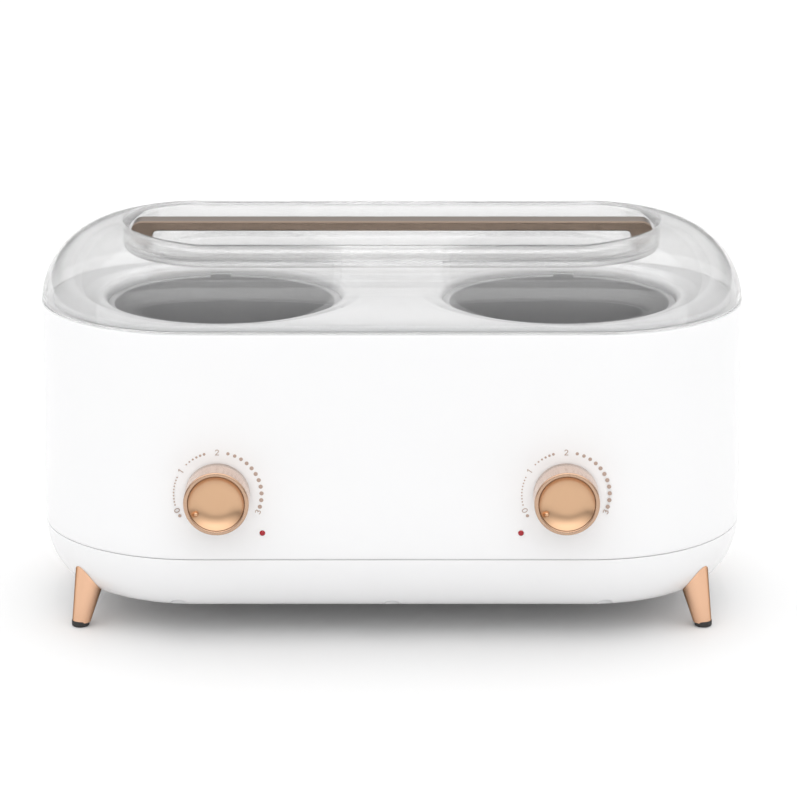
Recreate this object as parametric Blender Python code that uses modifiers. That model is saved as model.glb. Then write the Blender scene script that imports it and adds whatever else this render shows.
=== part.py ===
"""Twin-pot wax warmer: white pill-shaped housing, two lift-out pots under one clear lid,
two dials, two lamps and four splayed legs.

Metres, +Z up, front towards -Y. The origin is on the floor, at the centre of the whole
object's box. Heights below are measured from the floor, and the plan shape is a pill:
two half circles joined by straight sides along X.
"""
import math

import bmesh
import bpy
from mathutils import Vector

# ---------------------------------------------------------------- driving dimensions
GAP = 0.0003                  # clearance between touching pieces
PILL_HALF = 0.1000            # half length of the straight sides
RIM_R = 0.0800                # end radius of the housing at its rim
LOW_R = 0.0812                # end radius where the lower rounding starts
RIM_Z = 0.1625                # ledge that the lid stands on
ROUND_Z = 0.0545              # start of the lower rounding
SEAM_Z = 0.0457               # parting line between housing and tray
BASE_Z = 0.0155               # flat underside of the tray
ROUND_IN = 0.0240             # how far the lower rounding pulls in
ROUND_POWER = 2.3             # 2 is an ellipse, more is squarer
WALL = 0.0026                 # moulded wall thickness
LEDGE_IN_R = 0.0690           # inner end radius of the housing's top ledge
LEDGE_T = 0.0030

POT_X = 0.0860                # both pots: distance from the middle
POT_R = 0.0572                # outside of the pot's wall
POT_RIM_R = 0.0599
POT_WALL = 0.0010
POT_CORNER = 0.0080
POT_TOP = RIM_Z - 0.0029
POT_BOTTOM = 0.0952
POT_TAB_W = 0.0108            # the small tab at the back of the pot's rim
DECK_R = 0.0740
DECK_EDGE = 0.0015
DECK_TOP = RIM_Z + 0.0028
WELL_R = 0.0604               # white collar around each pot
DISH_R = 0.0712               # outside of the dished hollow around each pot
COLLAR_WALL = 0.0026

CUP_R = 0.0581                # inside of the heated cup
CUP_WALL = 0.0012
CUP_CORNER = 0.0056
CUP_FLANGE_R = 0.0665
CUP_TOP = RIM_Z - 0.0042
CUP_BOTTOM = 0.0932
BAND_R = 0.0596               # inside of the heater band around the cup
BAND_T = 0.0020
SHIELD_R = 0.0640
SHIELD_T = 0.0008
PAD_R = 0.0480
PLATE_TOP = 0.0912            # steel plate under both cups
PLATE_SHEET = 0.0012
PLATE_R = 0.0600
PLATE_FOOT = (0.0400, 0.0450)

LID_TOP = RIM_Z + 0.0400
LID_ROUND = 0.0430            # shoulder radius of the lid
LID_WALL = 0.0025
LID_SPRING = RIM_Z - 0.0030   # height of the shoulder's centre
BASIN_HALF = 0.0880           # straight half length of the recess in the lid
BASIN_R = 0.0465
BASIN_FLOOR = RIM_Z + 0.0280
BAR_END = 0.1335
BAR_HALF_WIDTH = 0.0060
BAR_UNDER = RIM_Z + 0.0350
BAR_SCREW_X = 0.1265

DIAL_X = 0.0870               # distance of both dials from the middle
KNOB_Z = 0.0805
KNOB_R = 0.0163
KNOB_OUT = 0.0173             # from the housing wall to the front of the knob
DISH_DEEP = 0.0050            # recess in the knob's front
DIAL_HOLE_R = 0.0046
SHAFT_R = 0.0030
SHAFT_TOP = 0.0088            # the dial's shaft and hollow, from the outside of the wall
KNOB_HOLLOW = 0.0100
THERMOSTAT_R = 0.0090
THERMOSTAT_DEEP = 0.0190      # from the outside of the wall
PIP_REACH = 0.0112            # pointer pip: distance from the dial's axis
PIP_OUT = 0.0003              # how far the pointer pip stands out of the knob's rim
OFF_ANGLE = math.radians(119) # pointer at rest, anticlockwise from straight up
LAMP_X = 0.0648
LAMP_Z = 0.0600
LAMP_R = 0.0016

SCREW_SPOTS = [(x, y) for y in (-0.0668, 0.0668) for x in (-0.108, 0.0, 0.108)]
SCREW_BORE_R = 0.00425
SCREW_SEAT_Z = 0.0270
SCREW_R = 0.0016
POST_R = 0.0070               # posts in the tray around the screw bores
LUG_R = 0.0055

LEG_FOOT = Vector((0.1603, 0.0500, 0.0))     # where a leg's axis meets the floor
LEG_LEAN = Vector((-0.2135, -0.1770, 1.0))   # its direction, per metre of height
LEG_R_FLOOR = 0.00435
LEG_TAPER = 0.133
LEG_CUT_Z = 0.0033
LEG_BOSS_TOP = 0.0335
LEG_BOSS_R = 0.0068
BOLT_TOP = 0.0365
BOLT_R = 0.0021
BOLT_HOLE_R = 0.0026
FOOT_H = 0.0030
FOOT_R = 0.0045

GLAND_Z = 0.0770
GLAND_OUT = 0.0050
GLAND_BORE_R = 0.0038         # the mains cord's hole
GLAND_NECK_R = 0.0055
GLAND_FLANGE_R = 0.0085
GLAND_END = -0.0090           # inner end, from the outside of the wall
END_STEPS = 16                # segments in each half circle of a pill
TURN_STEPS = 32


def outer_radius(z):
    """End radius of the white body at height z: slight draft, then a rounded bottom."""
    if z >= ROUND_Z:
        return LOW_R + (RIM_R - LOW_R) * (z - ROUND_Z) / (RIM_Z - ROUND_Z)
    rise = min(1.0, (ROUND_Z - z) / (ROUND_Z - BASE_Z))
    sine = rise ** (ROUND_POWER / 2)
    return LOW_R - ROUND_IN + ROUND_IN * max(0.0, 1 - sine * sine) ** (1 / ROUND_POWER)


WALL_FRONT = outer_radius(KNOB_Z)            # housing surface at the dials
WALL_LAMP = outer_radius(LAMP_Z)
FRONT_REACH = WALL_FRONT + KNOB_OUT + PIP_OUT
BACK_REACH = outer_radius(GLAND_Z) + GLAND_OUT
BODY_Y = (FRONT_REACH - BACK_REACH) / 2      # centres the whole box on the origin

# ---------------------------------------------------------------- materials
COLOURS = {
    "white_plastic": ((0.90, 0.90, 0.90), 0.22, 0.0),
    "clear_plastic": ((0.86, 0.88, 0.89), 0.05, 0.0),
    "rose_gold": ((0.72, 0.47, 0.38), 0.22, 1.0),
    "aluminium": ((0.55, 0.55, 0.55), 0.38, 1.0),
    "steel": ((0.50, 0.50, 0.51), 0.30, 1.0),
    "brass": ((0.66, 0.52, 0.25), 0.30, 1.0),
    "rubber": ((0.03, 0.03, 0.03), 0.75, 0.0),
    "red_lens": ((0.45, 0.01, 0.02), 0.12, 0.0),
    "black_plastic": ((0.04, 0.04, 0.04), 0.45, 0.0),
    "mica": ((0.62, 0.56, 0.44), 0.70, 0.0),
    "white_sleeve": ((0.78, 0.76, 0.72), 0.60, 0.0),
}


def make_material(name, finish):
    colour, roughness, metallic = COLOURS[finish]
    material = bpy.data.materials.new(name + "_" + finish)
    material.use_nodes = True
    shader = material.node_tree.nodes["Principled BSDF"]
    shader.inputs["Base Color"].default_value = (*colour, 1.0)
    shader.inputs["Roughness"].default_value = roughness
    shader.inputs["Metallic"].default_value = metallic
    if finish == "clear_plastic":
        shader.inputs["Alpha"].default_value = 0.3
    return material


# ---------------------------------------------------------------- scene and helpers
def clear_scene():
    for item in list(bpy.data.objects):
        bpy.data.objects.remove(item, do_unlink=True)


def new_collection(name):
    collection = bpy.data.collections.new(name)
    bpy.context.scene.collection.children.link(collection)
    return collection


clear_scene()
PARTS = new_collection("wax_warmer")
CUTTERS = new_collection("cutters")


def new_empty(name, location, parent=None):
    empty = bpy.data.objects.new(name, None)
    empty.empty_display_size = 0.02
    empty.location = location
    empty.parent = parent
    PARTS.objects.link(empty)
    return empty


ROOT = new_empty("warmer", (0, BODY_Y, 0))


def add_object(name, mesh, finish=None, location=(0, 0, 0), rotation=(0, 0, 0), parent=None):
    """A part when it has a finish, a hidden cutter when it has none."""
    item = bpy.data.objects.new(name, mesh)
    item.location = location
    item.rotation_euler = rotation
    item.parent = parent or ROOT
    if finish:
        mesh.materials.append(make_material(name, finish))
        PARTS.objects.link(item)
    else:
        item.hide_render = True
        item.display_type = "WIRE"
        CUTTERS.objects.link(item)
    return item


def smooth(mesh, degrees=32):
    mesh.shade_smooth()
    mesh.set_sharp_from_angle(angle=math.radians(degrees))


def mesh_from(build, name, degrees=32):
    work = bmesh.new()
    build(work)
    bmesh.ops.recalc_face_normals(work, faces=work.faces)
    mesh = bpy.data.meshes.new(name)
    work.to_mesh(mesh)
    work.free()
    smooth(mesh, degrees)
    return mesh


def pill_points(half, radius, z, steps=END_STEPS):
    points = []
    for side, start in ((1, -90), (-1, 90)):
        for step in range(steps + 1):
            angle = math.radians(start + 180 * step / steps)
            points.append((side * half + radius * math.cos(angle), radius * math.sin(angle), z))
    return points


def pill_mesh(name, profile, half=PILL_HALF, steps=END_STEPS):
    """A solid lofted through pill outlines: profile lists (end radius, z), top to bottom."""
    def build(work):
        loops = [[work.verts.new(p) for p in pill_points(half, r, z, steps)] for r, z in profile]
        for upper, lower in zip(loops, loops[1:]):
            for i in range(len(upper)):
                j = (i + 1) % len(upper)
                work.faces.new((upper[i], lower[i], lower[j], upper[j]))
        work.faces.new(loops[0])
        work.faces.new(loops[-1])
    return mesh_from(build, name)


def pill(name, profile, half=PILL_HALF, steps=END_STEPS, **place):
    return add_object(name, pill_mesh(name, profile, half, steps), **place)


def turned(name, profile, steps=TURN_STEPS, **place):
    """A profile of (radius, z), run down its outer side, spun about its own Z axis."""
    mesh = bpy.data.meshes.new(name)
    edges = [(i, i + 1) for i in range(len(profile) - 1)]
    closed = profile[0][0] > 0
    if closed:
        edges.append((len(profile) - 1, 0))
    mesh.from_pydata([(r, 0, z) for r, z in profile], edges, [])
    item = add_object(name, mesh, **place)
    spin = item.modifiers.new("Spin", "SCREW")
    spin.steps = steps
    spin.render_steps = steps
    spin.use_merge_vertices = True
    spin.merge_threshold = 0.00001
    spin.use_smooth_shade = True
    return item


def rod_mesh(name, spans, steps=12):
    """Upright cylinders, each (x, y, z_low, z_high, radius), in one mesh."""
    def build(work):
        for x, y, low, high, radius in spans:
            made = bmesh.ops.create_cone(work, cap_ends=True, segments=steps,
                                         radius1=radius, radius2=radius, depth=high - low)
            bmesh.ops.translate(work, verts=made["verts"], vec=(x, y, (low + high) / 2))
    return mesh_from(build, name)


def box_mesh(name, low, high):
    def build(work):
        made = bmesh.ops.create_cube(work, size=1.0)
        size = [b - a for a, b in zip(low, high)]
        centre = [(a + b) / 2 for a, b in zip(low, high)]
        bmesh.ops.scale(work, verts=made["verts"], vec=size)
        bmesh.ops.translate(work, verts=made["verts"], vec=centre)
    return mesh_from(build, name)


def outline_mesh(name, points, half_depth):
    """A flat outline in XY, given thickness along Z by a filled 2D curve."""
    curve = bpy.data.curves.new(name + "_outline", "CURVE")
    curve.dimensions = "2D"
    curve.fill_mode = "BOTH"
    curve.extrude = half_depth
    line = curve.splines.new("POLY")
    line.points.add(len(points) - 1)
    for point, (x, y) in zip(line.points, points):
        point.co = (x, y, 0, 1)
    line.use_cyclic_u = True
    item = bpy.data.objects.new(name + "_outline", curve)
    bpy.context.scene.collection.objects.link(item)
    bpy.context.view_layer.update()
    evaluated = item.evaluated_get(bpy.context.evaluated_depsgraph_get())
    mesh = bpy.data.meshes.new_from_object(evaluated)
    bpy.data.objects.remove(item, do_unlink=True)
    work = bmesh.new()
    work.from_mesh(mesh)
    bmesh.ops.remove_doubles(work, verts=work.verts, dist=0.000001)
    bmesh.ops.recalc_face_normals(work, faces=work.faces)
    work.to_mesh(mesh)
    work.free()
    mesh.name = name
    smooth(mesh)
    return mesh


def tube(name, points, radius, finish):
    """A wire: a smooth line through its own points, as a bevelled curve."""
    curve = bpy.data.curves.new(name, "CURVE")
    curve.dimensions = "3D"
    curve.bevel_depth = radius
    curve.bevel_resolution = 1
    curve.use_fill_caps = True
    fine = smooth_line([Vector(p) for p in points], 3)
    line = curve.splines.new("POLY")
    line.points.add(len(fine) - 1)
    for point, place in zip(line.points, fine):
        point.co = (*place, 1)
    item = bpy.data.objects.new(name, curve)
    item.parent = ROOT
    curve.materials.append(make_material(name, finish))
    PARTS.objects.link(item)
    return item


def smooth_line(points, steps):
    """Catmull-Rom points through the given ones."""
    padded = [2 * points[0] - points[1], *points, 2 * points[-1] - points[-2]]
    line = []
    for a, b, c, d in zip(padded, padded[1:], padded[2:], padded[3:]):
        for step in range(steps):
            t = step / steps
            line.append(0.5 * ((2 * b) + (c - a) * t + (2 * a - 5 * b + 4 * c - d) * t ** 2
                               + (3 * b - a - 3 * c + d) * t ** 3))
    line.append(points[-1])
    return line


def combine(item, operation, other):
    step = item.modifiers.new(operation.title() + "_" + other.name, "BOOLEAN")
    step.operation = operation
    step.solver = "EXACT"
    step.object = other
    return item


def cut(item, *others):
    for other in others:
        combine(item, "DIFFERENCE", other)
    return item


def join(item, *others):
    for other in others:
        combine(item, "UNION", other)
    return item


def bevel(item, width, segments=2):
    edge = item.modifiers.new("Bevel", "BEVEL")
    edge.width = width
    edge.segments = segments
    edge.limit_method = "ANGLE"
    edge.angle_limit = math.radians(40)
    return item


def arc(centre_r, centre_z, radius, start, end, steps):
    """Profile points on an arc; angles in degrees from outward, anticlockwise."""
    points = []
    for step in range(steps + 1):
        angle = math.radians(start + (end - start) * step / steps)
        points.append((centre_r + radius * math.cos(angle), centre_z + radius * math.sin(angle)))
    return points


SIDES = (("left", -1), ("right", 1))
CORNERS = (("front_left", -1, -1), ("front_right", 1, -1), ("rear_left", -1, 1), ("rear_right", 1, 1))
FACE_FRONT = (math.radians(90), 0, 0)        # turns an object's Z axis to the front, -Y
FACE_BACK = (math.radians(-90), 0, 0)


# ---------------------------------------------------------------- white body
def round_heights(top, bottom, steps):
    """Heights down the lower rounding, closer together where it turns fastest."""
    start = (ROUND_Z - top) / (ROUND_Z - BASE_Z)
    first = math.asin(min(1.0, start ** (ROUND_POWER / 2)))
    heights = []
    for step in range(steps + 1):
        angle = first + (math.pi / 2 - first) * step / steps
        heights.append(ROUND_Z - (ROUND_Z - bottom) * math.sin(angle) ** (2 / ROUND_POWER))
    return heights


def make_housing():
    edge = 0.0012
    bottom = SEAM_Z + GAP / 2
    profile = [(RIM_R - edge, RIM_Z), (RIM_R - 0.3 * edge, RIM_Z - 0.3 * edge), (RIM_R, RIM_Z - edge)]
    profile += [(outer_radius(z), z) for z in (ROUND_Z, bottom)]
    housing = pill("housing", profile, finish="white_plastic")

    inner = [(outer_radius(z) - WALL, z) for z in (RIM_Z - LEDGE_T, ROUND_Z)]
    inner.append((outer_radius(bottom) - WALL, bottom - 0.002))
    hollow = pill("housing_hollow", inner)
    lugs = [lug_outline(x, y) for x, y in SCREW_SPOTS]
    for index, points in enumerate(lugs):
        mesh = outline_mesh(f"lug_{index}", points, 0.0085)
        cut(hollow, add_object(f"lug_{index}", mesh, location=(0, 0, SEAM_Z + 0.0120)))
    cut(housing, hollow)

    mouth = [(LEDGE_IN_R, RIM_Z + 0.001), (LEDGE_IN_R, RIM_Z - 2 * LEDGE_T)]
    cut(housing, pill("housing_mouth", mouth))
    for side, sign in SIDES:
        cut(housing, front_rod(f"dial_hole_{side}", sign * DIAL_X, KNOB_Z, DIAL_HOLE_R),
            front_rod(f"lamp_hole_{side}", sign * LAMP_X, LAMP_Z, LAMP_R + GAP))
    cut(housing, add_object("gland_hole", rod_mesh("gland_hole", [(0, 0, 0.06, 0.09, GLAND_NECK_R + GAP)]),
                            location=(0, 0, GLAND_Z), rotation=FACE_BACK))
    holes = [(x, y, SEAM_Z - 0.01, SEAM_Z + 0.0150, SCREW_R) for x, y in SCREW_SPOTS]
    cut(housing, add_object("lug_holes", rod_mesh("lug_holes", holes, 8)))
    return housing


def lug_outline(x, y):
    """A screw lug that grows out of the wall: round towards the middle."""
    side = math.copysign(1, y)
    radius = LUG_R
    points = [(x - radius, side * 0.0796), (x + radius, side * 0.0796)]
    for step in range(7):
        angle = math.pi * step / 6
        points.append((x + radius * math.cos(angle), y - side * radius * math.sin(angle)))
    return points


def front_rod(name, x, z, radius):
    """A cutter that bores the front wall."""
    mesh = rod_mesh(name, [(0, 0, 0.06, 0.09, radius)])
    return add_object(name, mesh, location=(x, 0, z), rotation=FACE_FRONT)


def make_tray():
    lip = 0.0030
    top = SEAM_Z - GAP / 2
    lip_r = outer_radius(top) - WALL - GAP
    profile = [(lip_r, SEAM_Z + lip), (lip_r, top), (outer_radius(top), top)]
    profile += [(outer_radius(z), z) for z in round_heights(top, BASE_Z, 6)[1:]]
    tray = pill("base_tray", profile, finish="white_plastic")

    floor = BASE_Z + WALL
    inner = [(lip_r - 0.0012, SEAM_Z + 2 * lip), (lip_r - 0.0012, top - 0.0025)]
    inner += [(outer_radius(z - WALL * 0.6) - WALL, z) for z in (top - 0.0080, 0.0300, 0.0235)]
    inner.append((outer_radius(BASE_Z) - 0.0010, floor))
    hollow = pill("tray_hollow", inner)
    posts = [(x, y, BASE_Z, SEAM_Z + lip, POST_R) for x, y in SCREW_SPOTS]
    cut(hollow, add_object("tray_posts", rod_mesh("tray_posts", posts)))
    for name, sx, sy in CORNERS:
        cut(hollow, leg_rod(f"leg_boss_{name}", sx, sy, 0.005, LEG_BOSS_TOP, LEG_BOSS_R))
    cut(tray, hollow)

    bores = [(x, y, 0.0, SCREW_SEAT_Z, SCREW_BORE_R) for x, y in SCREW_SPOTS]
    cut(tray, add_object("screw_bores", rod_mesh("screw_bores", bores)))
    holes = [(x, y, SCREW_SEAT_Z - 0.001, SEAM_Z + 2 * lip, 0.0022) for x, y in SCREW_SPOTS]
    cut(tray, add_object("screw_holes", rod_mesh("screw_holes", holes, 8)))
    for name, sx, sy in CORNERS:
        cut(tray, leg_rod(f"leg_hole_{name}", sx, sy, 0.0, 0.040, BOLT_HOLE_R, 8))
    slots = add_object("vent_slots", mesh_from(build_vents, "vent_slots"))
    cut(tray, slots)
    return tray


def build_vents(work):
    """Two rows of vent slots through the tray's flat floor, under the pots."""
    for side in (-1, 1):
        for row in range(4):
            made = bmesh.ops.create_cube(work, size=1.0)
            bmesh.ops.scale(work, verts=made["verts"], vec=(0.0040, 0.0300, 0.0100))
            place = (side * (POT_X - 0.0180 + 0.0120 * row), 0, BASE_Z)
            bmesh.ops.translate(work, verts=made["verts"], vec=place)


def make_deck():
    profile = arc(DECK_R - DECK_EDGE, DECK_TOP - DECK_EDGE, DECK_EDGE, 90, 0, 2)
    profile.append((DECK_R, RIM_Z + GAP))
    deck = pill("top_deck", profile, finish="white_plastic")
    collars = [(sign * POT_X, 0, CUP_TOP + GAP, RIM_Z + 0.0012, WELL_R + COLLAR_WALL)
               for _, sign in SIDES]
    join(deck, add_object("deck_collars", rod_mesh("deck_collars", collars, TURN_STEPS)))
    for index, (x, y, turn) in enumerate(((0, -0.0660, -90), (0, 0.0660, 90),
                                          (0.1654, 0, 0), (-0.1654, 0, 180))):
        mesh = outline_mesh(f"deck_hook_{index}", HOOK_OUTLINE, 0.0060)
        place = dict(location=(x, y, 0), rotation=(math.radians(90), 0, math.radians(turn)))
        join(deck, add_object(f"deck_hook_{index}", mesh, **place))
    for side, sign in SIDES:
        cut(deck, turned(f"well_{side}", well_profile(), location=(sign * POT_X, 0, 0)))
    return deck


HOOK_OUTLINE = [(0.0, RIM_Z + 0.0015), (0.0, RIM_Z - 0.0060), (0.0016, RIM_Z - 0.0060),
                (0.0048, RIM_Z - LEDGE_T - GAP), (0.0026, RIM_Z - LEDGE_T - GAP),
                (0.0026, RIM_Z + 0.0015)]


def well_profile():
    """The dished hollow around a pot, which runs into an upright collar."""
    dish = [(DISH_R, DECK_TOP + 0.0001), (DISH_R - 0.0012, DECK_TOP - 0.0001),
            (DISH_R - 0.0078, DECK_TOP - 0.0015)]
    collar = arc(WELL_R + 0.0030, DECK_TOP - 0.0047, 0.0031, 82, 180, 3)
    return [(0, DECK_TOP + 0.004), (DISH_R, DECK_TOP + 0.004), *dish, *collar,
            (WELL_R, CUP_TOP - 0.002), (0, CUP_TOP - 0.002)]


# ---------------------------------------------------------------- legs and fasteners
def leg_point(sx, sy, z):
    spot = LEG_FOOT + LEG_LEAN * z
    return Vector((sx * spot.x, sy * spot.y, spot.z))


def lean_rotation(sx, sy):
    lean = Vector((sx * LEG_LEAN.x, sy * LEG_LEAN.y, LEG_LEAN.z))
    return lean.to_track_quat("Z", "Y").to_euler()


def leg_rod(name, sx, sy, low, high, radius, steps=12, radius_high=None, finish=None):
    """A rod, or a cone, along a leg's axis between two heights."""
    start = leg_point(sx, sy, low)
    end = leg_point(sx, sy, high)

    def build(work):
        bmesh.ops.create_cone(work, cap_ends=True, segments=steps, radius1=radius,
                              radius2=radius_high or radius, depth=(end - start).length)
    place = dict(location=(start + end) / 2, rotation=lean_rotation(sx, sy), finish=finish)
    return add_object(name, mesh_from(build, name), **place)


def make_legs():
    envelope = [(outer_radius(z) + GAP, z) for z in (0.0600, SEAM_Z)]
    envelope += [(outer_radius(z) + GAP, z) for z in round_heights(SEAM_Z, BASE_Z, 12)[1:]]
    envelope[-1] = (envelope[-1][0], BASE_Z - GAP)
    tray_space = pill("tray_space", envelope)
    below = add_object("below_legs", box_mesh("below_legs", (-0.2, -0.1, -0.02), (0.2, 0.1, LEG_CUT_Z)))
    top = 0.0340
    for name, sx, sy in CORNERS:
        wide = LEG_R_FLOOR + LEG_TAPER * top
        leg = leg_rod(f"leg_{name}", sx, sy, 0.0, top, LEG_R_FLOOR, 20, wide, "rose_gold")
        cut(leg, tray_space, below, leg_rod(f"leg_bore_{name}", sx, sy, 0.0090, 0.040, BOLT_HOLE_R, 8))
        spot = leg_point(sx, sy, FOOT_H / 2)
        foot = [(0, FOOT_H), (FOOT_R - 0.0003, FOOT_H), (FOOT_R, FOOT_H - 0.0004), (FOOT_R, 0.0004),
                (FOOT_R - 0.0004, 0.0), (0, 0)]
        turned(f"foot_{name}", foot, 16, finish="rubber", location=(spot.x, spot.y, 0))
        bolt = leg_rod(f"leg_bolt_{name}", sx, sy, 0.0100, BOLT_TOP, BOLT_R, 8, finish="steel")
        join(bolt, leg_rod(f"bolt_head_{name}", sx, sy, LEG_BOSS_TOP + GAP, BOLT_TOP, 0.0045, 8))


def make_housing_screws():
    head = 0.0026
    for index, (x, y) in enumerate(SCREW_SPOTS):
        seat = SCREW_SEAT_Z - GAP
        profile = [(0, seat + 0.0320), (0.0007, seat + 0.0315), (0.0011, seat + 0.0300),
                   (0.0011, seat + 0.0180), (SCREW_R, seat + 0.0175), (SCREW_R, seat), (0.0036, seat),
                   (0.0036, seat - 0.5 * head), (0.0026, seat - head), (0.0010, seat - head),
                   (0.0010, seat - 0.5 * head), (0, seat - 0.5 * head)]
        turned(f"housing_screw_{index + 1}", profile, 8, finish="steel", location=(x, y, 0))


# ---------------------------------------------------------------- heating
def make_heaters():
    for side, sign in SIDES:
        at = (sign * POT_X, 0, 0)
        bend = CUP_R - CUP_CORNER
        bend_z = CUP_BOTTOM + CUP_WALL + CUP_CORNER
        under = CUP_TOP - CUP_WALL
        cup = [(0, CUP_BOTTOM + CUP_WALL), (bend, CUP_BOTTOM + CUP_WALL)]
        cup += arc(bend, bend_z, CUP_CORNER, -90, 0, 2)[1:]
        cup += [(CUP_R, CUP_TOP), (CUP_FLANGE_R, CUP_TOP), (CUP_FLANGE_R, under), (CUP_R + CUP_WALL, under)]
        cup += arc(bend, bend_z, CUP_CORNER + CUP_WALL, 0, -90, 2)
        cup.append((0, CUP_BOTTOM))
        turned(f"heater_cup_{side}", cup, 28, finish="aluminium", location=at)
        ring(f"heater_band_{side}", BAND_R, BAND_R + BAND_T, RIM_Z - 0.0450, RIM_Z - 0.0180, "mica", at)
        rest = PLATE_TOP + GAP
        ring(f"heat_shield_{side}", SHIELD_R, SHIELD_R + SHIELD_T, rest, under - GAP, "steel", at)
        pad = [(0, CUP_BOTTOM - GAP), (PAD_R, CUP_BOTTOM - GAP), (PAD_R, rest), (0, rest)]
        turned(f"insulation_pad_{side}", pad, 20, finish="white_sleeve", location=at)


def ring(name, inner, outer, low, high, finish, at, steps=28):
    profile = [(outer, high), (outer, low), (inner, low), (inner, high)]
    return turned(name, profile, steps, finish=finish, location=at)


def make_support_plate():
    """A steel plate under both cups, on four bent feet."""
    top = PLATE_TOP
    sheet = PLATE_SHEET
    plate = pill("support_plate", [(PLATE_R, top), (PLATE_R, top - sheet)], POT_X, 16, finish="steel")
    foot_z = BASE_Z + WALL + GAP
    foot = [(0.0, top - 0.5 * sheet), (-sheet, top - 0.5 * sheet), (-sheet, foot_z + sheet),
            (-0.0120, foot_z + sheet), (-0.0120, foot_z), (0.0, foot_z)]
    for name, sx, sy in CORNERS:
        mesh = outline_mesh(f"plate_foot_{name}", foot, 0.0070)
        turn = 0 if sy > 0 else 180
        place = dict(location=(sx * PLATE_FOOT[0], sy * PLATE_FOOT[1], 0),
                     rotation=(math.radians(90), 0, math.radians(90 + turn)))
        join(plate, add_object(f"plate_foot_{name}", mesh, **place))


# ---------------------------------------------------------------- controls
def make_controls():
    for side, sign in SIDES:
        at = (sign * DIAL_X, -WALL_FRONT, KNOB_Z)
        inside = -WALL - GAP
        bush = DIAL_HOLE_R - 0.0005
        bore_r = SHAFT_R + 0.0004
        body = [(bush, 0.0030), (bush, inside), (THERMOSTAT_R, inside), (THERMOSTAT_R, -THERMOSTAT_DEEP),
                (bore_r, -THERMOSTAT_DEEP), (bore_r, 0.0030)]
        turned(f"thermostat_{side}", body, 16, finish="brass", location=at, rotation=FACE_FRONT)
        nut = rod_mesh(f"dial_nut_{side}", [(0, 0, 0.0005, 0.0030, 0.0064)], 6)
        nut = add_object(f"dial_nut_{side}", nut, "steel", at, FACE_FRONT)
        bore = rod_mesh(f"nut_bore_{side}", [(0, 0, -0.001, 0.005, 0.0045)], 12)
        cut(nut, add_object(f"nut_bore_{side}", bore, location=at, rotation=FACE_FRONT))
        make_knob(side, at)
        make_lamp(side, sign)


def make_knob(side, at):
    axis = new_empty(f"knob_axis_{side}", at, ROOT)
    place = dict(rotation=FACE_FRONT, parent=axis)
    out = KNOB_OUT
    knob = [(0, out - DISH_DEEP), (0.0143, out - DISH_DEEP), (0.0143, out - 0.0005), (0.0146, out),
            (0.0155, out), (0.0160, out - 0.0003), (KNOB_R, out - 0.0010), (KNOB_R, 0.0022),
            (KNOB_R - 0.0004, 0.0006), (0.0138, 0.0006), (0.0138, KNOB_HOLLOW), (0.0062, KNOB_HOLLOW),
            (0.0062, 0.0042), (SHAFT_R + GAP, 0.0042), (SHAFT_R + GAP, SHAFT_TOP + 0.0004),
            (0, SHAFT_TOP + 0.0004)]
    turned(f"knob_{side}", knob, 24, finish="rose_gold", **place)
    seat = out - DISH_DEEP + GAP
    dish = [(0.0140 * k / 4, seat + 0.0005 + 0.0030 * (k / 4) ** 4) for k in range(5)]
    dish += [(0.0140, seat), (0, seat)]
    face = turned(f"knob_face_{side}", dish, 24, finish="rose_gold", **place)
    spot = (-PIP_REACH * math.sin(OFF_ANGLE), PIP_REACH * math.cos(OFF_ANGLE), 0)
    pip_top = out + PIP_OUT
    pip = [(0, pip_top), (0.0007, pip_top - 0.0002), (0.0011, pip_top - 0.0006),
           (0.0013, pip_top - 0.0012), (0.0013, seat + 0.0003), (0, seat + 0.0003)]
    pip = turned(f"pointer_{side}", pip, 10)
    pip.parent = face
    pip.location = spot
    join(face, pip)
    end = 0.0004 - THERMOSTAT_DEEP
    shaft = [(0, SHAFT_TOP), (SHAFT_R, SHAFT_TOP), (SHAFT_R, end), (0, end)]
    turned(f"dial_shaft_{side}", shaft, 12, finish="steel", **place)


def make_lamp(side, sign):
    at = (sign * LAMP_X, -WALL_LAMP, LAMP_Z)
    lens = [(0, 0.0011), (0.0006, 0.0010), (0.0012, 0.0006), (LAMP_R, 0.0), (LAMP_R, -WALL - GAP),
            (0.0032, -WALL - GAP), (0.0032, -0.0044), (0, -0.0044)]
    turned(f"lamp_lens_{side}", lens, 12, finish="red_lens", location=at, rotation=FACE_FRONT)
    holder = [(0, -0.0047), (0.0036, -0.0047), (0.0036, -0.0150), (0, -0.0150)]
    turned(f"lamp_holder_{side}", holder, 12, finish="black_plastic", location=at, rotation=FACE_FRONT)


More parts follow.
